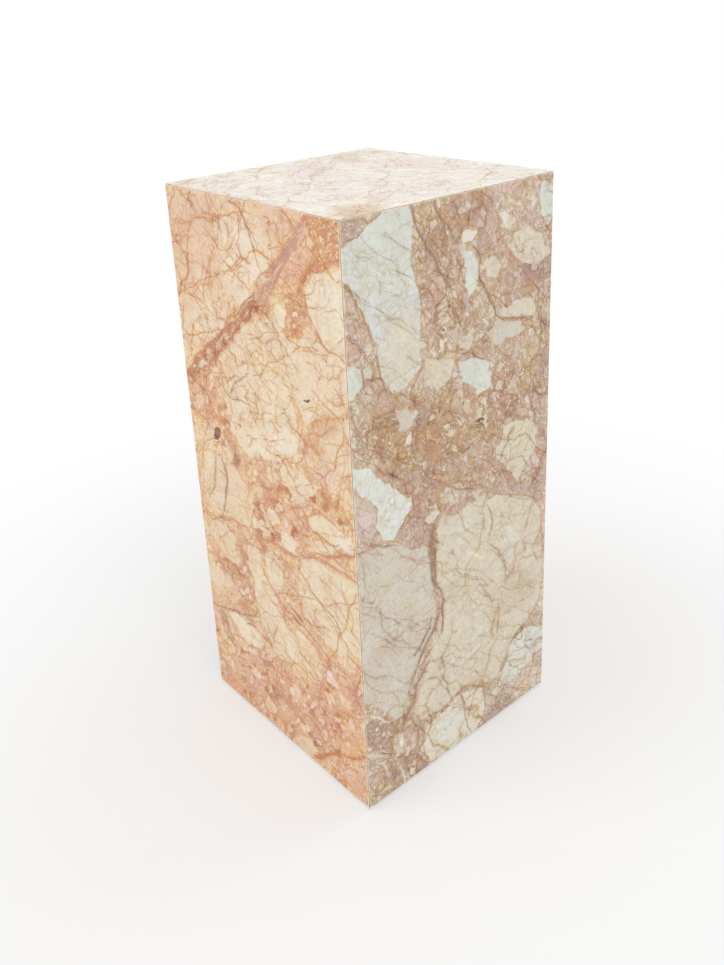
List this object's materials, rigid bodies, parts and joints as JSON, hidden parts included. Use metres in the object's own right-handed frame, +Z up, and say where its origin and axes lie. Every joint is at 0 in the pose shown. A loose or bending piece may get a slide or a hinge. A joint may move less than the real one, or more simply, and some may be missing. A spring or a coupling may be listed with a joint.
{
  "type": "pillar side table",
  "caption": "Tall square pillar of polished breccia marble: a hollow plinth of mitred slabs on felt pads, with a flat top to set things on.",
  "frame": {"origin": "centre of the square footprint, on the surface that the felt pads stand on", "axes": "+Z up, +X towards the right slab, -Y towards the front slab"},
  "size_m": [0.305, 0.305, 0.68],
  "materials": {
    "marble": "polished breccia marble, cream and peach fragments in a rust ground",
    "seam_resin": "brown-tinted polyester resin, polished flush",
    "glass_net": "glass-fibre net set in cured resin",
    "sawn_stone": "sawn marble, unpolished",
    "felt": "dense wool felt"
  },
  "bodies": {
    "root": {"top_slab": "marble", "front_slab": "marble", "right_slab": "marble", "back_slab": "marble", "left_slab": "marble", "front_right_seam": "seam_resin", "back_right_seam": "seam_resin", "back_left_seam": "seam_resin", "front_left_seam": "seam_resin", "top_front_seam": "seam_resin", "top_right_seam": "seam_resin", "top_back_seam": "seam_resin", "top_left_seam": "seam_resin", "top_net": "glass_net", "front_net": "glass_net", "right_net": "glass_net", "back_net": "glass_net", "left_net": "glass_net", "front_right_batten": "sawn_stone", "back_right_batten": "sawn_stone", "back_left_batten": "sawn_stone", "front_left_batten": "sawn_stone", "front_cleat": "sawn_stone", "right_cleat": "sawn_stone", "back_cleat": "sawn_stone", "left_cleat": "sawn_stone", "front_rail": "sawn_stone", "right_rail": "sawn_stone", "back_rail": "sawn_stone", "left_rail": "sawn_stone", "front_right_pad": "felt", "back_right_pad": "felt", "back_left_pad": "felt", "front_left_pad": "felt"}
  },
  "joints": []
}
